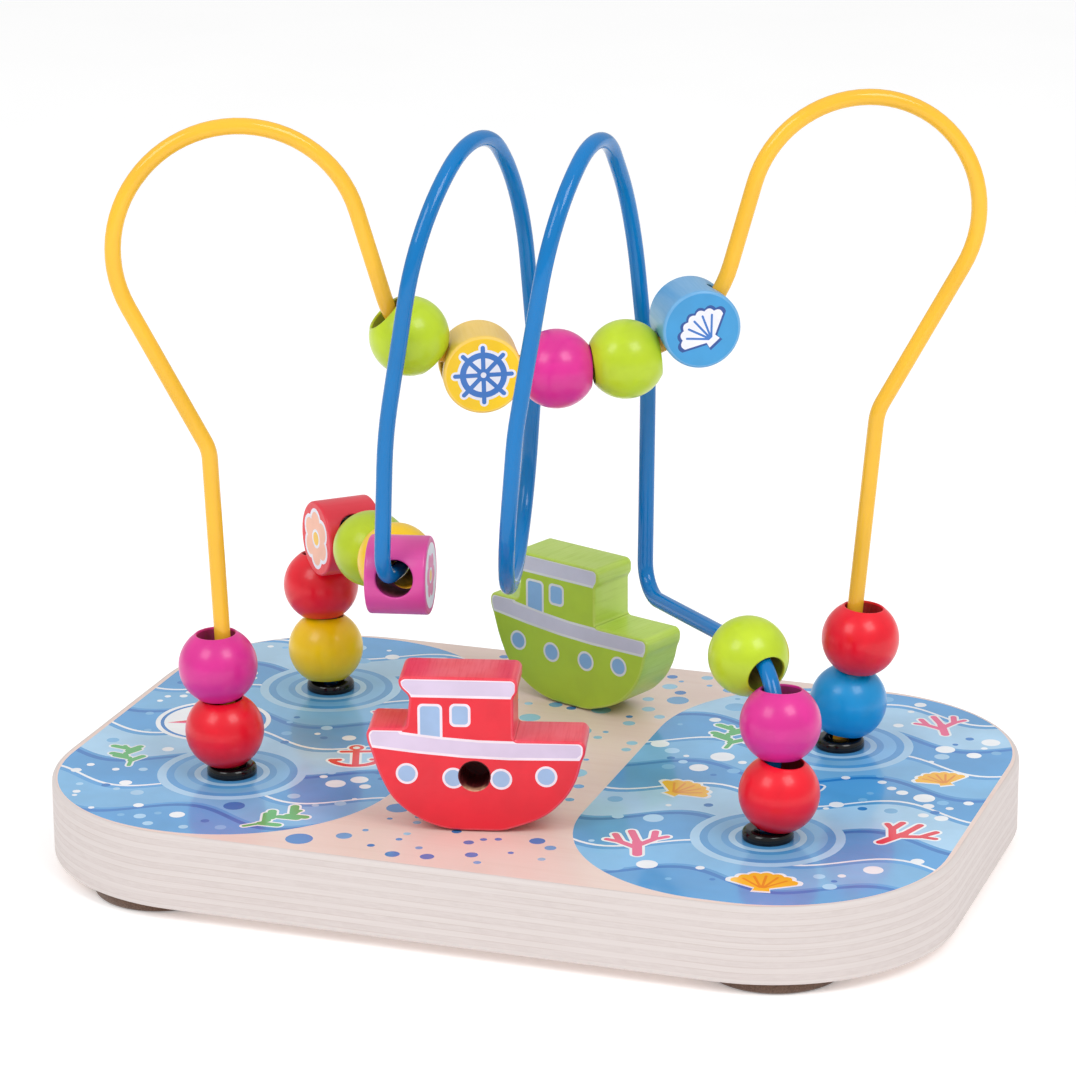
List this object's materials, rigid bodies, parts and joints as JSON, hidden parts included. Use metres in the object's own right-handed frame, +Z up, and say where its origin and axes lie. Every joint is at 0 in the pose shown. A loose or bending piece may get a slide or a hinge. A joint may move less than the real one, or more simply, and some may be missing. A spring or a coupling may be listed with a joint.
{
  "type": "bead maze toy",
  "caption": "Wooden bead maze: bent painted steel wires rise from a rounded plywood board and carry sliding, turning beads, with small boats that swivel on the board.",
  "frame": {"origin": "centre of the object's box at the underside of the feet", "axes": "+X along the long side of the board to the right, +Y to the back, +Z up"},
  "size_m": [0.26, 0.173, 0.2151],
  "materials": {
    "plywood": "satin clear lacquer over light plywood, with a printed panel at each end",
    "felt": "dense brown felt pad",
    "wire_yellow": "glossy warm yellow powder coat",
    "wire_blue": "glossy blue powder coat",
    "black_plastic": "glossy black moulded plastic",
    "lacquer_red": "satin red lacquer over wood",
    "lacquer_magenta": "satin magenta lacquer over wood",
    "lacquer_green": "satin lime green lacquer over wood",
    "lacquer_yellow": "satin yellow lacquer over wood",
    "lacquer_blue": "satin sky blue lacquer over wood",
    "screw_steel": "zinc-plated steel"
  },
  "bodies": {
    "frame": {"base_board": "plywood", "foot_lf": "felt", "foot_rf": "felt", "foot_lb": "felt", "foot_rb": "felt", "wire_yellow": "wire_yellow", "wire_blue": "wire_blue", "grommet_lf": "black_plastic", "grommet_rf": "black_plastic", "grommet_lb": "black_plastic", "grommet_rb": "black_plastic"},
    "lf_red": {"bead_lf_red": "lacquer_red"},
    "lf_magenta": {"bead_lf_magenta": "lacquer_magenta"},
    "rb_blue": {"bead_rb_blue": "lacquer_blue"},
    "rb_red": {"bead_rb_red": "lacquer_red"},
    "rf_red": {"bead_rf_red": "lacquer_red"},
    "rf_magenta": {"bead_rf_magenta": "lacquer_magenta"},
    "rf_green": {"bead_rf_green": "lacquer_green"},
    "lb_yellow": {"bead_lb_yellow": "lacquer_yellow"},
    "lb_red": {"bead_lb_red": "lacquer_red"},
    "level_green": {"bead_level_green": "lacquer_green"},
    "level_yellow": {"bead_level_yellow": "lacquer_yellow"},
    "dip_green_left": {"bead_dip_green_left": "lacquer_green"},
    "dip_magenta": {"bead_dip_magenta": "lacquer_magenta"},
    "dip_green_right": {"bead_dip_green_right": "lacquer_green"},
    "level_red_disc": {"disc_level_red": "lacquer_red"},
    "level_magenta_disc": {"disc_level_magenta": "lacquer_magenta"},
    "dip_yellow_disc": {"disc_dip_yellow": "lacquer_yellow"},
    "dip_blue_disc": {"disc_dip_blue": "lacquer_blue"},
    "red_boat": {"boat_red": "lacquer_red", "screw_red": "screw_steel"},
    "green_boat": {"boat_green": "lacquer_green", "screw_green": "screw_steel"}
  },
  "joints": [
    {"name": "lf_red_slide", "type": "slide", "parent": "frame", "child": "lf_red", "axis": [-0.0348, -0.0165, 0.9993], "range_m": [0, 0.022]},
    {"name": "lf_magenta_slide", "type": "slide", "parent": "lf_red", "child": "lf_magenta", "axis": [-0.0348, -0.0165, 0.9993], "range_m": [0, 0.022]},
    {"name": "rb_blue_slide", "type": "slide", "parent": "frame", "child": "rb_blue", "axis": [0.0812, 0.0386, 0.996], "range_m": [0, 0.022]},
    {"name": "rb_red_slide", "type": "slide", "parent": "rb_blue", "child": "rb_red", "axis": [0.0812, 0.0386, 0.996], "range_m": [0, 0.022]},
    {"name": "rf_green_spin", "type": "hinge", "parent": "frame", "child": "rf_green", "pos_m": [0.06812, -0.02279, 0.07087], "axis": [0.717, -0.6385, -0.2797], "continuous": true},
    {"name": "rf_red_spin", "type": "hinge", "parent": "frame", "child": "rf_red", "pos_m": [0.08105, -0.03655, 0.03794], "axis": [0.119, -0.0061, 0.9929], "continuous": true},
    {"name": "rf_magenta_spin", "type": "hinge", "parent": "frame", "child": "rf_magenta", "pos_m": [0.08058, -0.03451, 0.05712], "axis": [-0.0181, 0.0983, 0.995], "continuous": true},
    {"name": "lb_yellow_spin", "type": "hinge", "parent": "frame", "child": "lb_yellow", "pos_m": [-0.07886, 0.03564, 0.03831], "axis": [-0.05, 0.124, 0.991], "continuous": true},
    {"name": "lb_red_spin", "type": "hinge", "parent": "frame", "child": "lb_red", "pos_m": [-0.08019, 0.03623, 0.05757], "axis": [-0.0388, 0.1175, 0.9923], "continuous": true},
    {"name": "level_red_disc_tilt", "type": "hinge", "parent": "frame", "child": "level_red_disc", "pos_m": [-0.06996, 0.02888, 0.0759], "axis": [0.6576, -0.6636, 0.3567], "range_deg": [-14, 5]},
    {"name": "level_green_spin", "type": "hinge", "parent": "frame", "child": "level_green", "pos_m": [-0.05521, 0.014, 0.07779], "axis": [0.7008, -0.7071, 0.0947], "continuous": true},
    {"name": "level_yellow_spin", "type": "hinge", "parent": "frame", "child": "level_yellow", "pos_m": [-0.04208, -0.00035, 0.07975], "axis": [0.6072, -0.7887, 0.0956], "continuous": true},
    {"name": "level_magenta_disc_spin", "type": "hinge", "parent": "frame", "child": "level_magenta_disc", "pos_m": [-0.03291, -0.02088, 0.08313], "axis": [0.1933, -0.964, 0.1826], "continuous": true},
    {"name": "dip_green_left_roll", "type": "hinge", "parent": "frame", "child": "dip_green_left", "pos_m": [-0.01668, -0.00794, 0.16747], "axis": [-0.4296, 0.903, 0], "range_deg": [0, 37]},
    {"name": "dip_yellow_disc_tilt", "type": "hinge", "parent": "frame", "child": "dip_yellow_disc", "pos_m": [-0.01399, -0.00665, 0.14075], "axis": [0.887, 0.4359, -0.1526], "range_deg": [-9, 18]},
    {"name": "dip_magenta_spin", "type": "hinge", "parent": "frame", "child": "dip_magenta", "pos_m": [0.00508, 0.00218, 0.1394], "axis": [0.902, 0.4316, 0.0069], "continuous": true},
    {"name": "dip_green_right_spin", "type": "hinge", "parent": "frame", "child": "dip_green_right", "pos_m": [0.02239, 0.01052, 0.14145], "axis": [0.8969, 0.4278, 0.1123], "continuous": true},
    {"name": "dip_blue_disc_roll", "type": "hinge", "parent": "frame", "child": "dip_blue_disc", "pos_m": [0.01904, 0.00906, 0.17644], "axis": [0.4296, -0.903, 0], "range_deg": [0, 38]},
    {"name": "red_boat_swivel", "type": "hinge", "parent": "frame", "child": "red_boat", "pos_m": [0, -0.0505, 0.025], "axis": [0, 0, 1], "continuous": true},
    {"name": "green_boat_swivel", "type": "hinge", "parent": "frame", "child": "green_boat", "pos_m": [-0.0038, 0.0517, 0.025], "axis": [0, 0, 1], "continuous": true}
  ]
}
